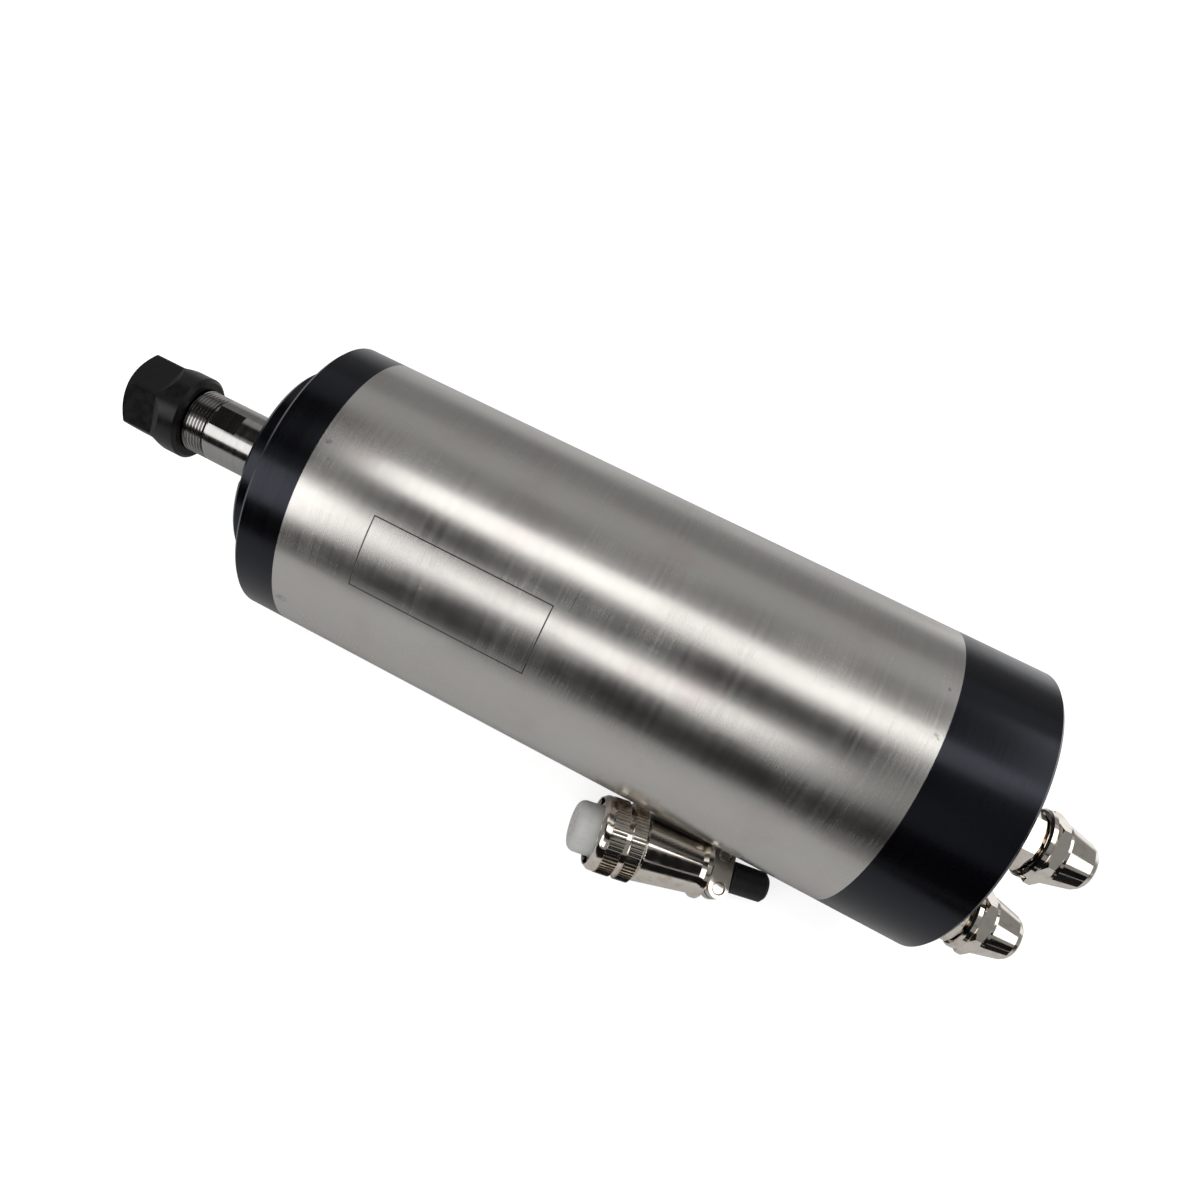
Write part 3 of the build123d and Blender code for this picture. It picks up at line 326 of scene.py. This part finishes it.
def nose_shaft():
    """Ground shaft whose milled wrench flats, inside its round, are duller, and darker through painted shade
    that stands in for the dark surroundings they mirror.
    """
    finish = Finish("Ground shaft", (0.42, 0.41, 0.4), 1.0, 0.18)
    x, y, z = finish.split()
    squares = [finish.math("MULTIPLY", side, side) for side in (y, z)]
    radius = finish.math("SQRT", finish.math("ADD", *squares))
    inner, outer = (THREAD_CREST - depth for depth in FLATS_DEPTH)
    flats_painted_shade_and_dull = finish.between(radius, 1.0, 0.0, inner, outer)
    behind = finish.between(x, 0, 1, THREAD_END - FLATS_START_FADE, THREAD_END + FLATS_START_FADE)
    ahead = finish.between(x, 1, 0, FLATS_END, FLATS_END + FLATS_FADE)
    flats_painted_shade_and_dull = finish.math("MULTIPLY", finish.math("MULTIPLY", flats_painted_shade_and_dull, behind), ahead)
    grain = turned_grain(finish, 3200.0)
    base = finish.blend(finish.between(grain, 0, 1, 0.3, 0.7), (0.37, 0.36, 0.35), (0.44, 0.43, 0.42))
    # Painted shade: the flats' colour is darkened to stand in for the dark surroundings that they mirror;
    # their added roughness below is real.
    finish.colour(finish.blend(flats_painted_shade_and_dull, base, (0.1, 0.09, 0.085)))
    ground = finish.between(grain, 0.12, 0.2, 0.25, 0.75)
    finish.rough(finish.math("ADD", ground, finish.math("MULTIPLY", flats_painted_shade_and_dull, 0.1)))
    finish.bump(grain, 0.1, 0.00002)
    return finish.material


def ground_steel(name, colour, along, rough):
    finish = Finish(name, colour, 1.0, 0.18)
    grain = turned_grain(finish, along)
    dark = tuple(0.85 * c for c in colour)
    finish.colour_over(grain, 0.3, 0.7, dark, colour)
    finish.rough(finish.between(grain, *rough, 0.25, 0.75))
    finish.bump(grain, 0.12, 0.00002)
    return finish.material


def black_oxide():
    finish = Finish("Black oxide steel", (0.006, 0.006, 0.007), 0.0, 0.3, Specular_IOR_Level=0.35)
    mottle = finish.noise(finish.stretched((420, 420, 420)), detail=4.0)
    grain = finish.noise(finish.stretched((2400, 260, 260)), detail=2.0)
    finish.colour_over(mottle, 0.35, 0.7, (0.004, 0.004, 0.005), (0.008, 0.0075, 0.009))
    finish.rough(finish.between(mottle, 0.28, 0.38, 0.3, 0.7))
    finish.bump(grain, 0.12, 0.00002)
    return finish.material


def nickel_plate():
    finish = Finish("Nickel plate", (0.78, 0.73, 0.67), 1.0, 0.1)
    ripple = finish.noise(finish.stretched((160, 160, 160)), detail=2.0)
    tarnish = finish.noise(finish.stretched((420, 420, 420), at=(1, 4, 2)), detail=3.0)
    finish.colour_over(tarnish, 0.4, 0.85, (0.82, 0.77, 0.7), (0.64, 0.56, 0.48))
    finish.rough(finish.between(tarnish, 0.05, 0.15, 0.3, 0.75))
    finish.bump(ripple, 0.06, 0.0002)
    return finish.material


def moulded_rubber():
    finish = Finish("Black rubber", (0.015, 0.015, 0.016), 0.0, 0.5, Specular_IOR_Level=0.4)
    fine = finish.noise(finish.stretched((1500, 1500, 1500)), detail=3.0)
    dust = finish.noise(finish.stretched((90, 90, 90)), detail=4.0)
    finish.colour_over(dust, 0.4, 0.75, (0.011, 0.011, 0.013), (0.026, 0.025, 0.026))
    finish.rough(finish.between(dust, 0.38, 0.56, 0.3, 0.7))
    finish.bump(fine, 0.15, 0.00004)
    return finish.material


def milky_plastic():
    finish = Finish(
        "Milky plastic", (0.8, 0.79, 0.76), 0.0, 0.32, Subsurface_Weight=0.25, Subsurface_Scale=0.002,
    )
    streak = finish.noise(finish.stretched((120, 500, 500)), detail=3.0)
    haze = finish.noise(finish.stretched((260, 260, 260), at=(2, 2, 5)), detail=3.0)
    finish.colour_over(haze, 0.35, 0.7, (0.76, 0.75, 0.73), (0.82, 0.81, 0.79))
    finish.rough(finish.between(streak, 0.24, 0.42, 0.3, 0.7))
    finish.bump(streak, 0.2, 0.0001)
    return finish.material


def moulded_plastic():
    finish = Finish("Moulded black plastic", (0.03, 0.03, 0.03), 0.0, 0.4)
    fine = finish.noise(finish.stretched((900, 900, 900)), detail=3.0)
    finish.colour_over(fine, 0.3, 0.7, (0.024, 0.024, 0.026), (0.04, 0.039, 0.039))
    finish.rough(finish.between(fine, 0.34, 0.48, 0.3, 0.7))
    finish.bump(fine, 0.1, 0.00004)
    return finish.material


def brass():
    finish = Finish("Plated brass", (0.78, 0.6, 0.3), 1.0, 0.22)
    stain = finish.noise(finish.stretched((500, 500, 500)), detail=3.0)
    finish.colour_over(stain, 0.3, 0.75, (0.8, 0.63, 0.33), (0.62, 0.45, 0.21))
    finish.rough(finish.between(stain, 0.16, 0.32, 0.3, 0.7))
    finish.bump(stain, 0.08, 0.00005)
    return finish.material


def lamination_stack():
    """Thin iron sheets on edge, with lacquer between them."""
    finish = Finish("Laminated iron", (0.2, 0.2, 0.21), 0.9, 0.5)
    x = finish.split()[0]
    phase = finish.math("MULTIPLY", x, pi / SHEET_THICKNESS)
    sheet = finish.math("ABSOLUTE", finish.math("SINE", phase))
    stain = finish.noise(finish.stretched((200, 200, 200)), detail=3.0)
    base = finish.blend(finish.between(sheet, 0, 1, 0.1, 0.4), (0.05, 0.045, 0.04), (0.24, 0.24, 0.25))
    finish.colour(finish.blend(finish.between(stain, 0, 0.5, 0.4, 0.8), base, (0.14, 0.11, 0.09)))
    finish.rough(finish.between(stain, 0.42, 0.6, 0.3, 0.7))
    finish.bump(sheet, 0.4, 0.00005)
    return finish.material


def varnished_copper():
    """Bundled copper wire under dark varnish."""
    finish = Finish("Varnished copper wire", (0.5, 0.2, 0.08), 0.7, 0.35, Coat_Weight=0.6)
    strand = finish.noise(finish.stretched((160, 1500, 1500)), detail=2.0)
    finish.colour_over(strand, 0.3, 0.7, (0.24, 0.08, 0.03), (0.62, 0.28, 0.12))
    finish.rough(finish.between(strand, 0.28, 0.45, 0.3, 0.7))
    finish.bump(strand, 0.5, 0.0002)
    return finish.material


FINISHES = {
    "tube_steel": brushed_tube(),
    "cap_black": black_anodised(),
    "shaft_steel": nose_shaft(),
    "nut_black": black_oxide(),
    "collet_steel": ground_steel("Ground collet steel", (0.62, 0.62, 0.61), 2600.0, (0.16, 0.26)),
    "nickel": nickel_plate(),
    "rubber_black": moulded_rubber(),
    "cap_plastic": milky_plastic(),
    "insulator_plastic": moulded_plastic(),
    "contact_brass": brass(),
    "bearing_steel": ground_steel("Bearing steel", (0.64, 0.64, 0.65), 4000.0, (0.08, 0.16)),
    "machined_aluminium": ground_steel("Turned aluminium", (0.76, 0.76, 0.77), 1400.0, (0.24, 0.36)),
    "lamination_iron": lamination_stack(),
    "copper_winding": varnished_copper(),
}
FINISHES["screw_black"] = FINISHES["nut_black"]
FINISHES["cage_brass"] = FINISHES["contact_brass"]


def dress_frame():
    """Every node of the frame gets the finish of its material slot."""
    for part in frame["record"]["subparts"]:
        node = frame["nodes"][part["node"]]
        node.data.materials.clear()
        node.data.materials.append(FINISHES[part["material_slot"]])


# ---------------------------------------------------------------- shaping
def lathe(name, outline):
    """Closed outline of (x, radius) corners turned round X, as a mesh object."""
    mesh = bpy.data.meshes.new(name)
    shape = bmesh.new()
    turns = [tau * k / RING_STEPS for k in range(RING_STEPS)]
    rows = []
    for x, radius in outline:
        rows.append([shape.verts.new((x, radius * sin(t), radius * cos(t))) for t in turns])
    for first, second in zip(rows, rows[1:] + rows[:1]):
        for k in range(RING_STEPS):
            after = (k + 1) % RING_STEPS
            shape.faces.new((first[k], first[after], second[after], second[k]))
    bmesh.ops.recalc_face_normals(shape, faces=shape.faces)
    shape.to_mesh(mesh)
    shape.free()
    made = bpy.data.objects.new(name, mesh)
    bpy.context.scene.collection.objects.link(made)
    return made


def smooth(piece):
    """Rounded faces shade smoothly, and sharp edges stay crisp."""
    for face in piece.data.polygons:
        face.use_smooth = True
    piece.data.set_sharp_from_angle(angle=SHARP_EDGE)


def new_tree(name, inputs):
    """Geometry node tree with the given named inputs: numbers and a material."""
    tree = bpy.data.node_groups.new(name, "GeometryNodeTree")
    tree.interface.new_socket("Geometry", in_out="INPUT", socket_type="NodeSocketGeometry")
    tree.interface.new_socket("Geometry", in_out="OUTPUT", socket_type="NodeSocketGeometry")
    for label, value in inputs.items():
        kind = {int: "NodeSocketInt", float: "NodeSocketFloat"}.get(type(value), "NodeSocketMaterial")
        tree.interface.new_socket(label, in_out="INPUT", socket_type=kind)
    return tree


class Rig:
    """Short ways to add and join nodes in a geometry tree."""

    def __init__(self, tree):
        self.tree = tree
        self.start = self.add("NodeGroupInput")
        self.end = self.add("NodeGroupOutput")

    def add(self, kind, inputs=None, **settings):
        made = self.tree.nodes.new(kind)
        for setting, value in settings.items():
            setattr(made, setting, value)
        for socket, value in (inputs or {}).items():
            if isinstance(value, bpy.types.NodeSocket):
                self.tree.links.new(value, made.inputs[socket])
            else:
                made.inputs[socket].default_value = value
        return made

    def size(self, label):
        return self.start.outputs[label]

    def math(self, operation, a, b):
        return self.add("ShaderNodeMath", {0: a, 1: b}, operation=operation).outputs[0]

    def finish(self, geometry):
        real = self.add("GeometryNodeRealizeInstances", {"Geometry": geometry})
        dressed = self.add(
            "GeometryNodeSetMaterial", {"Geometry": real.outputs[0], "Material": self.size("Finish")}
        )
        self.tree.links.new(dressed.outputs[0], self.end.inputs[0])


def grow(piece, tree, inputs):
    """Runs a geometry tree on a piece and keeps the result as its plain mesh."""
    modifier = piece.modifiers.new(tree.name, "NODES")
    modifier.node_group = tree
    for item in tree.interface.items_tree:
        if item.item_type == "SOCKET" and item.in_out == "INPUT" and item.name in inputs:
            modifier[item.identifier] = inputs[item.name]
    bpy.context.view_layer.update()
    ready = piece.evaluated_get(bpy.context.evaluated_depsgraph_get())
    mesh = bpy.data.meshes.new_from_object(ready)
    piece.modifiers.remove(modifier)
    piece.data = mesh


def settle(piece, place):
    """Puts a piece's place into its mesh, welds it and turns its faces outwards."""
    shape = bmesh.new()
    shape.from_mesh(piece.data)
    bmesh.ops.remove_doubles(shape, verts=shape.verts, dist=WELD_GAP)
    bmesh.ops.recalc_face_normals(shape, faces=shape.faces)
    shape.transform(place)
    shape.to_mesh(piece.data)
    shape.free()


def fit_to_body(piece, body, slot, *replaced):
    """Ties a piece to its body and hides the nodes that it stands for; the slot is not used."""
    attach(piece, body)
    if replaced:
        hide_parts(*replaced)


# ---------------------------------------------------------------- nose thread
def thread_tree(inputs):
    """Helical ridge of a screw thread on a rod along Z."""
    tree = new_tree("Helical thread", inputs)
    rig = Rig(tree)
    turns = rig.math("DIVIDE", rig.size("Length"), rig.size("Pitch"))
    helix = rig.add(
        "GeometryNodeCurveSpiral",
        {"Resolution": THREAD_STEPS, "Rotations": turns, "Start Radius": rig.size("Root radius"),
         "End Radius": rig.size("Root radius"), "Height": rig.size("Length")},
    )
    upright = rig.add("GeometryNodeSetCurveNormal", {0: helix.outputs[0]}, mode="Z_UP")
    depth = rig.math("SUBTRACT", rig.size("Crest radius"), rig.size("Root radius"))
    foot = rig.math("MULTIPLY", rig.size("Pitch"), THREAD_FOOT)
    crest = rig.math("MULTIPLY", rig.size("Pitch"), THREAD_TOP)
    below = rig.math("MULTIPLY", depth, -THREAD_SINK)
    flank = rig.add("GeometryNodeCurvePrimitiveQuadrilateral", mode="POINTS")
    front_foot = rig.math("MULTIPLY", foot, -1.0)
    front_crest = rig.math("MULTIPLY", crest, -1.0)
    corners = ((front_foot, below), (front_crest, depth), (crest, depth), (foot, below))
    for point, (sideways, out) in enumerate(corners, start=1):
        inwards = rig.math("MULTIPLY", out, -1.0)
        corner = rig.add("ShaderNodeCombineXYZ", {0: inwards, 1: sideways})
        tree.links.new(corner.outputs[0], flank.inputs[f"Point {point}"])
    ridge = rig.add(
        "GeometryNodeCurveToMesh",
        {"Curve": upright.outputs[0], "Profile Curve": flank.outputs[0], "Fill Caps": True},
    )
    rig.finish(ridge.outputs[0])
    return tree


def nose_thread():
    """Thread that shows on the nose between the nut and the wrench flats."""
    inputs = {
        "Pitch": THREAD_PITCH, "Length": THREAD_END - NUT_REAR - THREAD_SHORT,
        "Root radius": THREAD_ROOT, "Crest radius": THREAD_CREST, "Finish": FINISHES["shaft_steel"],
    }
    mesh = bpy.data.meshes.new("nose_thread")
    piece = bpy.data.objects.new("nose_thread", mesh)
    bpy.context.scene.collection.objects.link(piece)
    grow(piece, thread_tree(inputs), inputs)
    lay = Matrix.Translation((NUT_REAR + THREAD_START_GAP, 0, 0)) @ Matrix.Rotation(pi / 2, 4, "Y")
    settle(piece, lay)
    smooth(piece)
    fit_to_body(piece, "rotor", "shaft_steel")


# ---------------------------------------------------------------- coupling ring
def knurl_tree(inputs):
    """Straight ridges laid round two bands of a ring, joined to the ring itself."""
    tree = new_tree("Straight knurl", inputs)
    rig = Rig(tree)
    joined = rig.add("GeometryNodeJoinGeometry")
    for band in ("One", "Two"):
        start, end = rig.size(f"Band {band} start"), rig.size(f"Band {band} end")
        length = rig.math("SUBTRACT", end, start)
        middle = rig.math("MULTIPLY", rig.math("ADD", start, end), 0.5)
        circle = rig.add(
            "GeometryNodeMeshCircle", {"Vertices": rig.size("Count"), "Radius": rig.size("Band radius")}
        )
        ridge = rig.add(
            "GeometryNodeMeshCylinder",
            {"Vertices": RIDGE_SIDES, "Radius": rig.size("Ridge radius"), "Depth": length}, fill_type="NGON",
        )
        ridges = rig.add(
            "GeometryNodeInstanceOnPoints", {"Points": circle.outputs[0], "Instance": ridge.outputs[0]}
        )
        shift = rig.add("ShaderNodeCombineXYZ", {2: middle})
        moved = rig.add(
            "GeometryNodeTransform", {"Geometry": ridges.outputs[0], "Translation": shift.outputs[0]}
        )
        laid = rig.add("GeometryNodeTransform", {"Geometry": moved.outputs[0], "Rotation": (0, pi / 2, 0)})
        tree.links.new(laid.outputs[0], joined.inputs[0])
    tree.links.new(rig.size("Geometry"), joined.inputs[0])
    rig.finish(joined.outputs[0])
    return tree


def plug_matrix():
    """Place of the loose plug, from its own axes to the frame's."""
    yaw, pitch = Matrix.Rotation(PLUG_YAW, 4, "Z"), Matrix.Rotation(PLUG_PITCH, 4, "Y")
    return Matrix.Translation(PLUG_PLACE) @ yaw @ pitch @ Matrix.Rotation(PLUG_ROLL, 4, "X")


def coupling_ring():
    """Coupling ring of the plug: a plain rim in front, and two knurled bands with a groove between."""
    soft, wall_run = RING_EDGE, RING_WALL_RUN
    outline = [
        (RING_FRONT + soft, RING_BORE), (RING_FRONT, RING_BORE + soft), (RING_FRONT, RING_RIM - soft),
        (RING_FRONT + soft * 0.5, RING_RIM), (RING_FRONT + RING_BEVEL, RING_HEEL),
        (RING_SLOPE_END, RING_SHOULDER), (BAND_ONE[0] - soft, RING_SHOULDER),
        (BAND_ONE[0], RING_BAND), (BAND_ONE[1], RING_BAND),
        (BAND_ONE[1] + wall_run, RING_GROOVE), (BAND_TWO[0] - wall_run, RING_GROOVE),
        (BAND_TWO[0], RING_BAND), (BAND_TWO[1], RING_BAND), (RING_REAR, RING_BAND - soft),
        (RING_REAR, RING_LIP), (RING_REAR - RING_LIP_DEPTH, RING_LIP),
        (RING_REAR - RING_LIP_DEPTH, RING_BORE),
    ]
    ring = lathe("coupling_ring", outline)
    inputs = {
        "Count": KNURL_COUNT, "Band radius": RING_BAND, "Ridge radius": RING_CREST - RING_BAND,
        "Band One start": BAND_ONE[0], "Band One end": BAND_ONE[1], "Band Two start": BAND_TWO[0],
        "Band Two end": BAND_TWO[1], "Finish": FINISHES["nickel"],
    }
    grow(ring, knurl_tree(inputs), inputs)
    settle(ring, plug_matrix())
    smooth(ring)
    fit_to_body(ring, "plug_ring_body", "nickel", "plug_coupling_ring")


# ---------------------------------------------------------------- room, light and camera
def floor_finish():
    """Pale floor, seen brighter by the camera, and by mirrors in a patch behind the rear cap that is a
    painted reflection.
    """
    finish = Finish("Pale floor", (0.86, 0.86, 0.86), 0.0, 0.9, Specular_IOR_Level=0.0)
    rays = finish.node("ShaderNodeLightPath").outputs
    finish.shader.inputs["Emission Color"].default_value = (1, 1, 1, 1)
    x, y = finish.split()[:2]
    rise = finish.between(y, 0, 1, *PATCH_RISE)
    across = finish.math("MULTIPLY", rise, finish.between(y, 1, PATCH_FAR_LEVEL, *PATCH_FALL))
    behind = finish.between(x, PATCH_FRONT_LEVEL, 1, *PATCH_ALONG)
    # Painted reflection: a glow on the floor that only mirror rays see, and that lights nothing else.
    patch = finish.math("MULTIPLY", finish.math("MULTIPLY", across, behind), PATCH_LIFT)
    lift = finish.math("MULTIPLY", rays["Is Camera Ray"], FLOOR_LIFT)
    lift = finish.math("ADD", lift, finish.math("MULTIPLY", rays["Is Glossy Ray"], patch))
    finish.feed(finish.shader.inputs["Emission Strength"], lift)
    return finish.material


def card_finish():
    grey = (CARD_GREY, CARD_GREY, CARD_GREY)
    return Finish("Dark card", grey, 0.0, 0.9, Specular_IOR_Level=0.0).material


def sheet_of(name, corners):
    """Flat four-cornered piece of the room."""
    mesh = bpy.data.meshes.new(name)
    mesh.from_pydata(corners, [], [(0, 1, 2, 3)])
    made = bpy.data.objects.new(name, mesh)
    bpy.context.scene.collection.objects.link(made)
    return made


def dark_card(name, corners, finish):
    """Black card beside the set: polished metal mirrors it, and nothing else sees it."""
    card = sheet_of(name, corners)
    card.data.materials.append(finish)
    card.visible_camera = card.visible_diffuse = card.visible_shadow = False


def card_across(turn_from, turn_to, distance, start, end):
    """Corners of a card along X that spans two turns about the spindle axis, from +Z towards -Y."""
    ends = [(-distance * sin(turn), distance * cos(turn)) for turn in (turn_from, turn_to)]
    return [(start, *ends[0]), (end, *ends[0]), (end, *ends[1]), (start, *ends[1])]


def oblong(along_x, along_y, height):
    """Corners of a level oblong, from its ends along X and along Y."""
    (left, right), (first, last) = along_x, along_y
    return [(left, first, height), (right, first, height), (right, last, height), (left, last, height)]


def room():
    """Pale floor, dark cards for the metal to mirror, and a dim even world."""
    floor = sheet_of("floor", oblong((-FLOOR_HALF, FLOOR_HALF), (-FLOOR_HALF, FLOOR_HALF), FLOOR))
    floor.data.materials.append(floor_finish())

    black = card_finish()
    for name, turn_from, turn_to, distance, start, end in CARDS:
        dark_card(name, card_across(radians(turn_from), radians(turn_to), distance, start, end), black)
    (near_y, far_y), (low, high) = PLUG_CARD_Y, PLUG_CARD_Z
    upright = [(PLUG_CARD_X, y, z) for y, z in ((near_y, low), (far_y, low), (far_y, high), (near_y, high))]
    dark_card("plug_card", upright, black)
    dark_card("floor_card", oblong(FLOOR_CARD_X, FLOOR_CARD_Y, FLOOR + FLOOR_CARD_RISE), black)

    world = bpy.data.worlds.new("Studio")
    bpy.context.scene.world = world
    world.use_nodes = True
    world.node_tree.nodes["Background"].inputs["Color"].default_value = (1, 1, 1, 1)
    world.node_tree.nodes["Background"].inputs["Strength"].default_value = WORLD_LEVEL


def strip_lamp(name, turn, distance, middle, length, width, radiance):
    """Long soft box along X, turned about the spindle axis from +Z towards -Y, that faces the axis."""
    data = bpy.data.lights.new(name, "AREA")
    data.shape = "RECTANGLE"
    data.size, data.size_y = length, width
    data.energy = radiance * pi * length * width
    made = bpy.data.objects.new(name, data)
    bpy.context.scene.collection.objects.link(made)
    made.location = (middle, -distance * sin(turn), distance * cos(turn))
    made.rotation_euler = (turn, 0, 0)


def lights():
    """Soft boxes round the spindle, and a dim one behind for the far side."""
    for name, turn, distance, middle, length, width, radiance in BOXES:
        strip_lamp(name, radians(turn), distance, middle, length, width, radiance)


def camera():
    data = bpy.data.cameras.new("Camera")
    data.lens = CAMERA_LENS
    data.shift_x, data.shift_y = CAMERA_SHIFT
    data.clip_start, data.clip_end = CAMERA_CLIP
    made = bpy.data.objects.new("Camera", data)
    bpy.context.scene.collection.objects.link(made)
    made.location = CAMERA_PLACE
    made.rotation_euler = CAMERA_TURN
    bpy.context.scene.camera = made
    bpy.context.scene.view_settings.view_transform = "Standard"


dress_frame()
nose_thread()
coupling_ring()
room()
lights()
camera()
